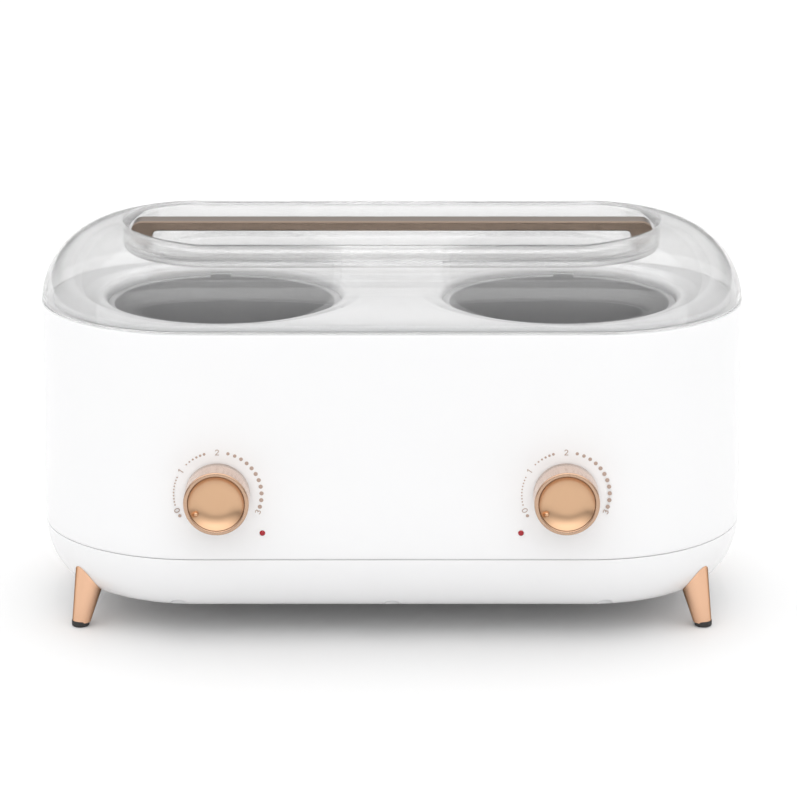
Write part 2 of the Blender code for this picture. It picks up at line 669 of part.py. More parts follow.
# ---------------------------------------------------------------- wiring
def make_wiring():
    wall = outer_radius(GLAND_Z)
    barb = GLAND_NECK_R + 0.0007
    gland = [(GLAND_FLANGE_R - 0.0015, GLAND_OUT), (GLAND_FLANGE_R, GLAND_OUT - 0.0015),
             (GLAND_FLANGE_R, GAP), (GLAND_NECK_R, GAP), (GLAND_NECK_R, -WALL - GAP),
             (barb, -WALL - GAP), (barb, GLAND_END), (GLAND_BORE_R, GLAND_END), (GLAND_BORE_R, GLAND_OUT)]
    turned("cord_gland", gland, 16, finish="black_plastic", location=(0, wall, GLAND_Z),
           rotation=FACE_BACK)

    floor = BASE_Z + WALL + GAP
    low = (-0.0150, 0.0080, floor)
    high = (0.0150, 0.0240, floor + 0.0120)
    block = add_object("terminal_block", box_mesh("terminal_block", low, high), "white_plastic")
    wells = [(x, 0.0160, floor + 0.0060, floor + 0.0200, 0.0028) for x in (-0.009, 0.0, 0.009)]
    cut(block, add_object("terminal_wells", rod_mesh("terminal_wells", wells, 8)))

    inside = wall - 0.0100
    tube("lead_mains", [(0, inside, GLAND_Z), (0, inside - 0.012, GLAND_Z - 0.001),
                        (0, inside - 0.024, GLAND_Z - 0.015), (0, inside - 0.032, 0.0400),
                        (0, 0.0320, floor + 0.0060), (0, 0.0252, floor + 0.0060)],
         0.0024, "white_sleeve")
    for side, sign in SIDES:
        back = -WALL_FRONT + THERMOSTAT_DEEP + GAP
        tube(f"lead_{side}", [(sign * DIAL_X, back, KNOB_Z - 0.006),
                              (sign * DIAL_X, back + 0.005, KNOB_Z - 0.006),
                              (sign * DIAL_X, back + 0.012, 0.066),
                              (sign * 0.070, back + 0.020, 0.046), (sign * 0.045, -0.020, 0.034),
                              (sign * 0.028, 0.012, floor + 0.0075), (sign * 0.022, 0.016, floor + 0.0060),
                              (sign * 0.0156, 0.016, floor + 0.0060)],
             0.0012, "white_sleeve")
        fuse = [(0, 0.0895), (0.0022, 0.0890), (0.0022, 0.0780), (0, 0.0775)]
        turned(f"thermal_fuse_{side}", fuse, 10, finish="steel", location=(sign * 0.0600, 0.012, 0))


# ---------------------------------------------------------------- pots
def make_pots():
    wall = POT_WALL
    radius = POT_R
    corner = POT_CORNER
    for side, sign in SIDES:
        profile = [(0, POT_BOTTOM + wall), (radius - corner, POT_BOTTOM + wall)]
        profile += arc(radius - corner, POT_BOTTOM + corner, corner - wall, -90, 0, 3)[1:]
        profile += [(radius - wall, POT_TOP - 0.0010), (radius - wall + 0.0003, POT_TOP - 0.0002),
                    (radius - wall + 0.0010, POT_TOP), (POT_RIM_R - 0.0005, POT_TOP),
                    (POT_RIM_R, POT_TOP - 0.0004), (POT_RIM_R, POT_TOP - wall), (radius, POT_TOP - wall)]
        profile += arc(radius - corner, POT_BOTTOM + corner, corner, 0, -90, 3)
        profile.append((0, POT_BOTTOM))
        place = dict(location=(sign * POT_X, 0, 0))
        pot = turned(f"pot_{side}", profile, TURN_STEPS, finish="aluminium", **place)
        tab = box_mesh(f"pot_tab_{side}", (-POT_TAB_W / 2, 0.0540, POT_TOP - 0.0007),
                       (POT_TAB_W / 2, 0.0586, POT_TOP + 0.0014))
        join(pot, add_object(f"pot_tab_{side}", tab, rotation=(0, 0, -sign * math.radians(4.8)), **place))


# ---------------------------------------------------------------- lid
def dome_profile(wall, foot):
    """The lid's rounded shoulder, drawn inwards by a wall thickness."""
    radius = LID_ROUND - wall
    start = math.degrees(math.asin((RIM_Z + GAP - LID_SPRING) / radius)) if foot is None else 0
    points = arc(RIM_R - LID_ROUND, LID_SPRING, radius, 90, start, 7)
    if foot is not None:
        points.append((points[-1][0], foot))
    return points


def make_lid():
    axis = new_empty("lid_frame", (0, 0, 0), ROOT)
    shell = pill("lid_shell", dome_profile(0, None), finish="clear_plastic", parent=axis)
    under = 0.0460
    tub = [(under + 0.0030, RIM_Z + 0.06), (under + 0.0030, BASIN_FLOOR + 0.0010)]
    tub += arc(under, BASIN_FLOOR + 0.0005, 0.0030, 0, -90, 3)[1:]
    room = pill("lid_room", dome_profile(LID_WALL, RIM_Z - 0.010))
    cut(room, pill("basin_tub", tub, BASIN_HALF))
    basin = [(BASIN_R + 0.0028, RIM_Z + 0.05), (BASIN_R + 0.0028, RIM_Z + 0.0408)]
    basin += [(BASIN_R + 0.0014, RIM_Z + 0.0388), (BASIN_R + 0.0004, RIM_Z + 0.0374),
              (BASIN_R, RIM_Z + 0.0360)]
    basin += arc(BASIN_R - 0.0030, BASIN_FLOOR + 0.0030, 0.0030, 0, -90, 4)
    cut(shell, room, pill("basin", basin, BASIN_HALF))

    screws = [(sign * BAR_SCREW_X, 0) for _, sign in SIDES]
    holes = [(x, y, RIM_Z + 0.02, RIM_Z + 0.03, 0.0020) for x, y in screws]
    cut(shell, add_object("lid_holes", rod_mesh("lid_holes", holes, 10)))

    bar = outline_mesh("lid_handle", bar_outline(), BAR_HALF_WIDTH)
    bar = add_object("lid_handle", bar, "rose_gold", rotation=(math.radians(90), 0, 0), parent=axis)
    bevel(bar, 0.0014)
    bores = [(x, y, RIM_Z + 0.02, RIM_Z + 0.0345, 0.0019) for x, y in screws]
    cut(bar, add_object("bar_bores", rod_mesh("bar_bores", bores, 10)))
    for (side, _), (x, y) in zip(SIDES, screws):
        head = BASIN_FLOOR - LID_WALL - GAP
        profile = [(0, RIM_Z + 0.0338), (0.0016, RIM_Z + 0.0332), (0.0016, head), (0.0032, head),
                   (0.0032, head - 0.0012), (0.0022, head - 0.0022), (0, head - 0.0022)]
        turned(f"handle_screw_{side}", profile, 10, finish="steel", location=(x, y, 0), parent=axis)


def bar_outline():
    """Side view of the grip: a bridge whose ends turn down on to the recess floor."""
    half = []
    for r, z in arc(BAR_END - 0.0060, LID_TOP - 0.0060, 0.0060, 90, 0, 4):
        half.append((r, z))
    half += [(BAR_END, RIM_Z + 0.0325), (0.1306, BASIN_FLOOR + 0.0008), (0.1301, BASIN_FLOOR + GAP),
             (0.1225, BASIN_FLOOR + GAP)]
    half += arc(0.1195, BAR_UNDER - 0.0030, 0.0030, 0, 90, 3)
    mirrored = [(-x, z) for x, z in reversed(half)]
    return half + mirrored


make_housing()
make_tray()
make_deck()
make_legs()
make_housing_screws()
make_heaters()
make_support_plate()
make_controls()
make_wiring()
make_pots()
make_lid()
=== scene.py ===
import math

import bmesh
import bpy
from mathutils import Matrix, Vector


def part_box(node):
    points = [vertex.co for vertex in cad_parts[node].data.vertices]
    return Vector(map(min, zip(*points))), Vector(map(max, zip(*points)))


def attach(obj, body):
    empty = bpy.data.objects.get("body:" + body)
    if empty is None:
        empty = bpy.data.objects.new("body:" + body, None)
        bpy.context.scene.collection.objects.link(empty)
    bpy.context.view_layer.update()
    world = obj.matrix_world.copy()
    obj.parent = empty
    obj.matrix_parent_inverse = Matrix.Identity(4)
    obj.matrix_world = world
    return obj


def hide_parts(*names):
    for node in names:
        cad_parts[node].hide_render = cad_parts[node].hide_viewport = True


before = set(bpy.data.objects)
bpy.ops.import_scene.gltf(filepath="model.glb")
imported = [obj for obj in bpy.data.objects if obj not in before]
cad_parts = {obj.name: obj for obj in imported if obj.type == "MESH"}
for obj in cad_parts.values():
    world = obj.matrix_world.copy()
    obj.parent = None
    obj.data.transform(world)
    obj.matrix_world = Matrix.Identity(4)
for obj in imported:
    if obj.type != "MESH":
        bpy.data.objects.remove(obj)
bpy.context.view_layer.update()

# ---------------------------------------------------------------- sizes, in metres
GAP = 0.0003
HOUSING_LOW, HOUSING_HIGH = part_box("housing")
TRAY_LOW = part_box("base_tray")[0]
LID_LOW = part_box("lid_shell")[0]
DECK_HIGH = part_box("top_deck")[1]
BAR_LOW, BAR_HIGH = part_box("lid_handle")
KNOB_LOW, KNOB_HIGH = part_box("knob_right")
LENS_LOW, LENS_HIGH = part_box("lamp_lens_right")
POT_LOW, POT_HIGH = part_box("pot_right")
CUP_LOW, CUP_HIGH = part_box("heater_cup_right")
GLAND_LOW, GLAND_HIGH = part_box("cord_gland")

BODY_Y = (HOUSING_LOW.y + HOUSING_HIGH.y) / 2
CENTRE = Vector((0, BODY_Y, 0))
LOW_R = (HOUSING_HIGH.y - HOUSING_LOW.y) / 2       # end radius where the lower rounding starts
PILL_HALF = HOUSING_HIGH.x - LOW_R                 # half length of the straight sides
RIM_Z = HOUSING_HIGH.z
RIM_R = LOW_R - 0.0012                             # end radius at the rim: a slight draft
SEAM_Z = HOUSING_LOW.z - GAP / 2
BASE_Z = TRAY_LOW.z
ROUND_Z = SEAM_Z + 0.0088                          # start of the lower rounding
ROUND_IN = 0.0240
ROUND_POWER = 2.3
WALL = 0.0026

LID_ROUND = 0.0430
LID_WALL = 0.0025
LID_SPRING = RIM_Z - 0.0030
BASIN_HALF = 0.0880
BASIN_R = 0.0465
BASIN_FLOOR = RIM_Z + 0.0280

POT_X = (POT_LOW.x + POT_HIGH.x) / 2
POT_TOP = POT_HIGH.z - 0.0014
POT_BOTTOM = POT_LOW.z
POT_R = 0.0572                                     # outside of the pot's wall
POT_RIM_R = 0.0599
POT_WALL = 0.0010
POT_CORNER = 0.0080
WELL_R = 0.0604                                    # white collar round each pot
COLLAR_R = WELL_R + 0.0026
DISH_R = 0.0722                                    # outside of the hollow round each pot
DISH_FLOOR_R = 0.0634
DISH_DROP = 0.0015
CUP_TOP = CUP_HIGH.z
CUP_BOTTOM = CUP_LOW.z
CUP_WALL = 0.0012
CUP_CORNER = 0.0056
CUP_R = 0.0581
CUP_FLANGE_R = 0.0665
DECK_TOP = DECK_HIGH.z
DECK_R = 0.0740

KNOB_X = (KNOB_LOW.x + KNOB_HIGH.x) / 2
KNOB_Z = (KNOB_LOW.z + KNOB_HIGH.z) / 2
KNOB_R = (KNOB_HIGH.x - KNOB_LOW.x) / 2
LAMP_X = (LENS_LOW.x + LENS_HIGH.x) / 2
LAMP_Z = (LENS_LOW.z + LENS_HIGH.z) / 2
GLAND_Z = (GLAND_LOW.z + GLAND_HIGH.z) / 2
RECESS_DEEP = 0.0050                               # recess in the knob's front, and the dish in it
RECESS_R = 0.0140
SPUN_R = 0.0139
HOLLOW_R = 0.0138                                  # hollow back of the knob
HOLLOW_TOP = 0.0100
PIP_REACH = 0.0115                                 # pointer pip: distance from the dial's axis
PIP_ANGLE = math.radians(119)                      # at the off mark, anticlockwise from straight up
MARK_RING_R = 0.0220

SIDES = (("left", -1), ("right", 1))
CORNERS = (("front_left", -1, -1), ("front_right", 1, -1), ("rear_left", -1, 1), ("rear_right", 1, 1))
SCREW_SPOTS = [(x, y) for y in (-0.0668, 0.0668) for x in (-0.108, 0.0, 0.108)]
SCREW_SEAT_Z = 0.0270
SCREW_BORE_R = 0.00425
SCREW_R = 0.0016
CROSS_HALF = 0.00035                               # half width of the cross in a screw's head
POST_R = 0.0070                                    # posts in the tray round the screw bores
VENT_ROWS = 4                                      # cooling slots under each side
VENT_X = 0.0680
VENT_PITCH = 0.0120
VENT_R = 0.0020
VENT_HALF = 0.0130
EDGE_LIP = 0.0004                                  # rounding along the seam
LEG_LEAN = Vector((-0.2135, -0.1770, 1.0))
LEG_R = 0.00435                                    # at the floor; the leg widens upwards
LEG_TAPER = 0.133
FOOT_R = 0.0045
FACE_FRONT = Matrix.Rotation(math.radians(90), 4, "X")
FACE_BACK = Matrix.Rotation(math.radians(-90), 4, "X")


def outer_radius(z):
    """End radius of the white body at height z."""
    if z >= ROUND_Z:
        return LOW_R + (RIM_R - LOW_R) * (z - ROUND_Z) / (RIM_Z - ROUND_Z)
    sine = min(1.0, (ROUND_Z - z) / (ROUND_Z - BASE_Z)) ** (ROUND_POWER / 2)
    return LOW_R - ROUND_IN + ROUND_IN * max(0.0, 1 - sine * sine) ** (1 / ROUND_POWER)


# ---------------------------------------------------------------- materials
def add_node(tree, kind, **values):
    node = tree.nodes.new(kind)
    for key, value in values.items():
        setattr(node, key, value)
    return node


def material(name, colour, rough, metallic=0.0, vary=0.02, rough_vary=0.04, scale=60.0, grain=900.0,
             bump=0.00001, stretch=(1, 1, 1), transmission=0.0, ior=1.5, coat=0.0, edge=None, alpha=1.0):
    """A Principled surface with noise in its colour and roughness, and a fine bump."""
    made = bpy.data.materials.new(name)
    made.use_nodes = True
    tree = made.node_tree
    link = tree.links.new
    shader = tree.nodes["Principled BSDF"]
    shader.inputs["Metallic"].default_value = metallic
    shader.inputs["Transmission Weight"].default_value = transmission
    shader.inputs["IOR"].default_value = ior
    shader.inputs["Coat Weight"].default_value = coat
    shader.inputs["Alpha"].default_value = alpha
    if edge:
        shader.inputs["Specular Tint"].default_value = (*edge, 1)
    place = add_node(tree, "ShaderNodeTexCoord")
    squeeze = add_node(tree, "ShaderNodeMapping")
    squeeze.inputs["Scale"].default_value = stretch
    link(place.outputs["Object"], squeeze.inputs["Vector"])
    cloud = add_node(tree, "ShaderNodeTexNoise")
    cloud.inputs["Scale"].default_value = scale
    cloud.inputs["Detail"].default_value = 3.0
    link(squeeze.outputs["Vector"], cloud.inputs["Vector"])
    tint = add_node(tree, "ShaderNodeMix", data_type="RGBA")
    tint.inputs["A"].default_value = (*[c * (1 - vary) for c in colour], 1)
    tint.inputs["B"].default_value = (*[min(1.0, c * (1 + vary)) for c in colour], 1)
    link(cloud.outputs["Fac"], tint.inputs["Factor"])
    link(tint.outputs["Result"], shader.inputs["Base Color"])
    span = add_node(tree, "ShaderNodeMapRange")
    span.inputs["To Min"].default_value = max(0.0, rough - rough_vary)
    span.inputs["To Max"].default_value = rough + rough_vary
    link(cloud.outputs["Fac"], span.inputs["Value"])
    link(span.outputs["Result"], shader.inputs["Roughness"])
    fine = add_node(tree, "ShaderNodeTexNoise")
    fine.inputs["Scale"].default_value = grain
    fine.inputs["Detail"].default_value = 2.0
    link(squeeze.outputs["Vector"], fine.inputs["Vector"])
    relief = add_node(tree, "ShaderNodeBump")
    relief.inputs["Strength"].default_value = 0.5
    relief.inputs["Distance"].default_value = bump
    link(fine.outputs["Fac"], relief.inputs["Height"])
    link(relief.outputs["Normal"], shader.inputs["Normal"])
    return made


WHITE = material("white_gloss_abs", (0.88, 0.88, 0.885), 0.24, vary=0.006, scale=18, bump=0.000004)
ROSE = material("rose_gold_satin", (0.84, 0.52, 0.345), 0.24, 1.0, vary=0.02, rough_vary=0.03,
                grain=2400, bump=0.000006, edge=(0.12, 0.08, 0.055))
PALE_ROSE = material("rose_gold_ring", (0.80, 0.64, 0.55), 0.26, 1.0, vary=0.02, rough_vary=0.03,
                     grain=2400, bump=0.000006)
DISH = material("rose_gold_spun", (0.66, 0.42, 0.26), 0.30, 1.0, vary=0.02, rough_vary=0.03,
                grain=2400, bump=0.000006)
BRONZE = material("bronze_bar", (0.25, 0.19, 0.15), 0.22, 1.0, vary=0.03, stretch=(0.05, 1, 1),
                  grain=3000, bump=0.000006)
INK = material("rose_ink", (0.47, 0.35, 0.29), 0.45, vary=0.04)
CLEAR = material("clear_lid_plastic", (0.99, 0.99, 0.99), 0.002, vary=0.002, rough_vary=0.002,
                 transmission=1.0, ior=1.49, bump=0.00000005, alpha=0.8)
POT = material("pot_anodised", (0.42, 0.42, 0.425), 0.42, 0.55, vary=0.03, stretch=(1, 1, 6),
               grain=1500, bump=0.00001)
ALUMINIUM = material("spun_aluminium", (0.62, 0.62, 0.63), 0.36, 1.0, vary=0.03, stretch=(1, 1, 8))
STEEL = material("plated_steel", (0.52, 0.52, 0.53), 0.30, 1.0, vary=0.04)
BRASS = material("plain_brass", (0.66, 0.50, 0.24), 0.32, 1.0, vary=0.04)
RUBBER = material("foot_rubber", (0.035, 0.033, 0.032), 0.7, vary=0.15, bump=0.00003)
RED = material("red_lamp", (0.36, 0.0, 0.010), 0.10, vary=0.05, rough_vary=0.02, coat=0.2)
BLACK = material("black_moulded", (0.035, 0.035, 0.036), 0.45, vary=0.1, bump=0.00002)
MICA = material("mica_sheet", (0.58, 0.50, 0.38), 0.6, vary=0.18, scale=240, bump=0.00004)
FIBRE = material("ceramic_fibre", (0.80, 0.78, 0.74), 0.9, vary=0.08, scale=500, bump=0.0002)
SLEEVE = material("woven_sleeve", (0.78, 0.75, 0.70), 0.7, vary=0.1, scale=1800, bump=0.00006)
FLOOR = material("pale_floor", (0.76, 0.76, 0.76), 0.6, vary=0.003, scale=4, bump=0.000001)


def tint_depth(made, colour, density):
    """A constant absorption inside a clear material."""
    tree = made.node_tree
    depth = add_node(tree, "ShaderNodeVolumeAbsorption")
    depth.inputs["Color"].default_value = (*colour, 1)
    depth.inputs["Density"].default_value = density
    tree.links.new(depth.outputs["Volume"], tree.nodes["Material Output"].inputs["Volume"])


def second_tone(made, colour, start, end):
    """A second colour along the piece's own Y, between start and end."""
    tree = made.node_tree
    shader = tree.nodes["Principled BSDF"]
    first = shader.inputs["Base Color"].links[0].from_socket
    spot = add_node(tree, "ShaderNodeTexCoord")
    split = add_node(tree, "ShaderNodeSeparateXYZ")
    share = add_node(tree, "ShaderNodeMapRange")
    share.inputs["From Min"].default_value = start
    share.inputs["From Max"].default_value = end
    both = add_node(tree, "ShaderNodeMix", data_type="RGBA")
    both.inputs["B"].default_value = (*colour, 1)
    tree.links.new(spot.outputs["Object"], split.inputs["Vector"])
    tree.links.new(split.outputs["Y"], share.inputs["Value"])
    tree.links.new(share.outputs["Result"], both.inputs["Factor"])
    tree.links.new(first, both.inputs["A"])
    tree.links.new(both.outputs["Result"], shader.inputs["Base Color"])


KNOB_FACE = BODY_Y - outer_radius(KNOB_Z) - KNOB_LOW.y    # from the wall to the front of the knob
second_tone(PALE_ROSE, (0.55, 0.37, 0.26), 0.0010 - KNOB_FACE, 0.0007 - KNOB_FACE)
tint_depth(CLEAR, (0.5, 0.5, 0.5), 5.0)


# ---------------------------------------------------------------- mesh helpers
def finish_mesh(work, name, degrees):
    bmesh.ops.recalc_face_normals(work, faces=work.faces)
    mesh = bpy.data.meshes.new(name)
    work.to_mesh(mesh)
    work.free()
    mesh.shade_smooth()
    mesh.set_sharp_from_angle(angle=math.radians(degrees))
    return mesh


def loft(name, rings, cap=True, degrees=35):
    """Quads through rings of equal length; the ends are capped, or joined to each other."""
    work = bmesh.new()
    loops = [[work.verts.new(point) for point in ring] for ring in rings]
    pairs = list(zip(loops, loops[1:]))
    if not cap:
        pairs.append((loops[-1], loops[0]))
    for upper, lower in pairs:
        for i in range(len(upper)):
            j = (i + 1) % len(upper)
            work.faces.new((upper[i], lower[i], lower[j], upper[j]))
    if cap:
        work.faces.new(loops[0])
        work.faces.new(loops[-1])
    return finish_mesh(work, name, degrees)


def pill_outline(half, radius, ends=48, sides=30):
    points = []
    for side, start in ((1, -90), (-1, 90)):
        for step in range(ends):
            angle = math.radians(start + 180 * step / ends)
            points.append((side * half + radius * math.cos(angle), radius * math.sin(angle)))
        for step in range(sides):
            points.append((side * half * (1 - 2 * step / sides), side * radius))
    return points


def pill_ring(radius, z, half=PILL_HALF):
    return [(x, y, z) for x, y in pill_outline(half, radius)]


def turned(name, profile, steps=96, matrix=None, degrees=35):
    """A profile of (radius, z) spun about Z, closed on itself or on the axis."""
    work = bmesh.new()
    on_axis = profile[0][0] == 0
    loops = []
    for r, z in profile:
        if r == 0:
            loops.append([work.verts.new((0, 0, z))])
        else:
            loops.append([work.verts.new((r * math.cos(2 * math.pi * i / steps),
                                          r * math.sin(2 * math.pi * i / steps), z))
                          for i in range(steps)])
    pairs = list(zip(loops, loops[1:]))
    if not on_axis:
        pairs.append((loops[-1], loops[0]))
    for upper, lower in pairs:
        for i in range(steps):
            j = (i + 1) % steps
            corners = [upper[i % len(upper)], lower[i % len(lower)],
                       lower[j % len(lower)], upper[j % len(upper)]]
            corners = list(dict.fromkeys(corners))
            if len(corners) > 2:
                work.faces.new(corners)
    if matrix:
        work.transform(matrix)
    return finish_mesh(work, name, degrees)


def box(name, low, high, matrix=None):
    work = bmesh.new()
    made = bmesh.ops.create_cube(work, size=1.0)
    bmesh.ops.scale(work, verts=made["verts"], vec=[b - a for a, b in zip(low, high)])
    bmesh.ops.translate(work, verts=made["verts"], vec=[(a + b) / 2 for a, b in zip(low, high)])
    if matrix:
        work.transform(matrix)
    return finish_mesh(work, name, 35)


def arc(centre_r, centre_z, radius, start, end, steps):
    points = []
    for step in range(steps + 1):
        angle = math.radians(start + (end - start) * step / steps)
        points.append((centre_r + radius * math.cos(angle), centre_z + radius * math.sin(angle)))
    return points


def merged(name, meshes):
    work = bmesh.new()
    for mesh in meshes:
        work.from_mesh(mesh)
    made = bpy.data.meshes.new(name)
    work.to_mesh(made)
    work.free()
    made.shade_smooth()
    made.set_sharp_from_angle(angle=math.radians(35))
    return made


def place(name, mesh, look, location=CENTRE):
    item = bpy.data.objects.new(name, mesh)
    item.location = location
    bpy.context.scene.collection.objects.link(item)
    if look:
        mesh.materials.clear()
        mesh.materials.append(look)
    return item


def piece(name, mesh, look, body, stands_for=(), location=CENTRE):
    item = place(name, mesh, look, location)
    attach(item, body)
    if stands_for:
        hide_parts(*stands_for)
    return item


def carve(mesh, operation, *tools, degrees=35):
    """The mesh after exact booleans with the tool meshes, all in one space."""
    item = place("carved", mesh, None)
    cutters = []
    for index, tool in enumerate(tools):
        cutter = place(f"tool_{index}", tool, None)
        cutters.append(cutter)
        step = item.modifiers.new("Step", "BOOLEAN")
        step.operation = operation
        step.solver = "EXACT"
        step.object = cutter
    bpy.context.view_layer.update()
    evaluated = item.evaluated_get(bpy.context.evaluated_depsgraph_get())
    made = bpy.data.meshes.new_from_object(evaluated)
    for unused in (item, *cutters):
        bpy.data.objects.remove(unused)
    made.shade_smooth()
    made.set_sharp_from_angle(angle=math.radians(degrees))
    return made


def settle(item):
    """Even shading across the large faces that booleans leave."""
    even = item.modifiers.new("Even", "WEIGHTED_NORMAL")
    even.keep_sharp = True
    even.weight = 60
    return item


# ---------------------------------------------------------------- white body
def make_housing():
    soft = 0.0012
    low = SEAM_Z + GAP / 2
    lip = EDGE_LIP
    ledge = RIM_Z - 0.0030
    ledge_r = 0.0690
    profile = arc(RIM_R - soft, RIM_Z - soft, soft, 90, 0, 6)
    for step in range(1, 13):
        z = RIM_Z - soft + (ROUND_Z - RIM_Z + soft) * step / 12
        profile.append((outer_radius(z), z))
    profile += [(outer_radius(z), z) for z in (0.0520, 0.0495, 0.0475, low + lip)]
    profile += [(outer_radius(low) - 0.3 * lip, low + 0.3 * lip), (outer_radius(low) - lip, low)]
    profile += [(outer_radius(low) - WALL, low), (outer_radius(0.0545) - WALL, 0.0545)]
    profile += [(outer_radius(ledge) - WALL, ledge), (ledge_r, ledge), (ledge_r, RIM_Z)]
    mesh = loft("housing_mesh", [pill_ring(r, z) for r, z in profile], cap=False)
    return piece("housing_shell", mesh, WHITE, "base", ("housing",))


def make_tray():
    top = SEAM_Z - GAP / 2
    lip = EDGE_LIP
    first = math.asin(((ROUND_Z - top + lip) / (ROUND_Z - BASE_Z)) ** (ROUND_POWER / 2))
    profile = [(outer_radius(top) - WALL, top), (outer_radius(top) - lip, top),
               (outer_radius(top) - 0.3 * lip, top - 0.3 * lip)]
    for step in range(41):
        angle = first + (math.pi / 2 - first) * step / 40
        z = ROUND_Z - (ROUND_Z - BASE_Z) * math.sin(angle) ** (2 / ROUND_POWER)
        profile.append((outer_radius(z), z))
    solid = loft("tray_solid", [pill_ring(r, z) for r, z in profile])
    hollow = [(outer_radius(top) - WALL - 0.0001, top + 0.002)]
    hollow += [(outer_radius(z) - WALL, z) for z in (0.0440, 0.0380, 0.0320, 0.0270)]
    hollow += [(outer_radius(z) - WALL - extra, z) for z, extra in ((0.0225, 0.0006), (0.0195, 0.002))]
    hollow.append((0.0560, BASE_Z + WALL))
    hollow = loft("tray_hollow", [pill_ring(r, z) for r, z in hollow])
    post = [(0, SEAM_Z - 0.001), (POST_R, SEAM_Z - 0.001), (POST_R, BASE_Z + 0.001), (0, BASE_Z + 0.001)]
    posts = [turned("post", post, 40, Matrix.Translation((x, y, 0))) for x, y in SCREW_SPOTS]
    mesh = carve(solid, "DIFFERENCE", carve(hollow, "DIFFERENCE", *posts))
    bore = [(0, SCREW_SEAT_Z), (SCREW_BORE_R, SCREW_SEAT_Z), (SCREW_BORE_R, 0.0060), (0, 0.0060)]
    bores = [turned("bore", bore, 48, Matrix.Translation((x, y, 0))) for x, y in SCREW_SPOTS]
    slots = []
    for side in (-1, 1):
        for row in range(VENT_ROWS):
            x = side * (VENT_X + VENT_PITCH * row)
            outline = [(px + x, py) for px, py in slot_outline(VENT_R, VENT_HALF)]
            slots.append(loft("slot", [[(px, py, z) for px, py in outline]
                                       for z in (BASE_Z + 0.005, BASE_Z - 0.005)]))
    mesh = carve(mesh, "DIFFERENCE", merged("bores", bores), merged("slots", slots))
    return settle(piece("base_shell", mesh, WHITE, "base", ("base_tray",)))


def slot_outline(radius, half, steps=8):
    points = []
    for side, start in ((1, 0), (-1, 180)):
        for step in range(steps + 1):
            angle = math.radians(start + 180 * step / steps)
            points.append((radius * math.cos(angle), side * half + radius * math.sin(angle)))
    return points


def make_deck():
    soft = 0.0016
    low = RIM_Z + GAP
    profile = arc(DECK_R - soft, DECK_TOP - soft, soft, 90, 0, 8)
    profile.append((DECK_R, low))
    plate = loft("deck_plate", [pill_ring(r, z) for r, z in profile])
    collars = []
    wells = []
    for _, sign in SIDES:
        at = Matrix.Translation((sign * POT_X, 0, 0))
        collar = [(0, low + 0.001), (COLLAR_R, low + 0.001), (COLLAR_R, CUP_TOP + GAP), (0, CUP_TOP + GAP)]
        collars.append(turned("collar", collar, 128, at))
        well = [(0, DECK_TOP + 0.004), (DISH_R, DECK_TOP + 0.004), (DISH_R, DECK_TOP + 0.00002)]
        for step in range(1, 13):
            r = DISH_R - (DISH_R - DISH_FLOOR_R) * step / 12
            well.append((r, DECK_TOP - DISH_DROP * math.sin(math.pi / 2 * (step / 12) ** 1.5)))
        well += arc(WELL_R + 0.0030, DECK_TOP - 0.0047, 0.0031, 80, 180, 12)
        well += [(WELL_R - 0.0001, CUP_TOP - 0.002), (0, CUP_TOP - 0.002)]
        wells.append(turned("well", well, 128, at))
    mesh = carve(plate, "UNION", *collars)
    mesh = carve(mesh, "DIFFERENCE", *wells, degrees=30)
    return settle(piece("deck_top", mesh, WHITE, "base", ("top_deck",)))


# ---------------------------------------------------------------- legs
def make_legs():
    for name, sx, sy in CORNERS:
        low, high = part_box(f"foot_{name}")
        spot = (low + high) / 2
        lean = Vector((sx * LEG_LEAN.x, sy * LEG_LEAN.y, LEG_LEAN.z))
        foot = Vector((spot.x, spot.y - BODY_Y, 0)) - lean * 0.0015
        side = lean.cross(Vector((0, 1, 0))).normalized()
        front = lean.cross(side).normalized()
        cut = high.z + GAP

        def at(angle, z):
            """A point of the leg's cone that has reached height z."""
            point = foot + lean * z
            for _ in range(4):
                radius = LEG_R + LEG_TAPER * point.z
                around = side * math.cos(angle) + front * math.sin(angle)
                axis = foot + lean * (z - around.z * radius)
                point = axis + around * radius
            return point

        rings = []
        steps = 40
        tops = []
        for i in range(steps):
            angle = 2 * math.pi * i / steps
            inside, outside = 0.0400, 0.0100
            for _ in range(30):
                middle = (inside + outside) / 2
                p = at(angle, middle)
                d = math.hypot(max(0.0, abs(p.x) - PILL_HALF), p.y)
                if p.z > BASE_Z and d < outer_radius(p.z) + GAP / 2:
                    inside = middle
                else:
                    outside = middle
            tops.append(outside)
        soft = 0.0003
        levels = 14
        for level in range(levels + 1):
            share = level / levels
            rings.append([at(2 * math.pi * i / steps, cut + soft + (tops[i] - cut - soft) * share)
                          for i in range(steps)])
        bottom = [foot + lean * cut + (p - foot - lean * (cut + soft)) * 0.955 for p in rings[0]]
        bottom = [Vector((p.x, p.y, cut)) for p in bottom]
        rings.insert(0, bottom)
        piece(f"leg_tube_{name}", loft(f"leg_{name}_mesh", rings), ROSE, "base",
              (f"leg_{name}",))
        tall = high.z
        foot_profile = [(0, tall), (FOOT_R - 0.0002, tall), (FOOT_R - 0.00005, tall - 0.0002),
                        (FOOT_R, tall - 0.0006), (FOOT_R, 0.0008), (FOOT_R - 0.0001, 0.0004),
                        (FOOT_R - 0.0004, 0.0001), (FOOT_R - 0.0008, 0.0), (0, 0)]
        piece(f"foot_pad_{name}", turned(f"foot_{name}_mesh", foot_profile, 48), RUBBER, "base",
              (f"foot_{name}",), Vector((spot.x, spot.y, 0)))


# ---------------------------------------------------------------- dials and lamps
def wall_point(x, z, out=0.0):
    """A point on the front wall, out metres in front of it."""
    return Vector((x, -outer_radius(z) - out, z))


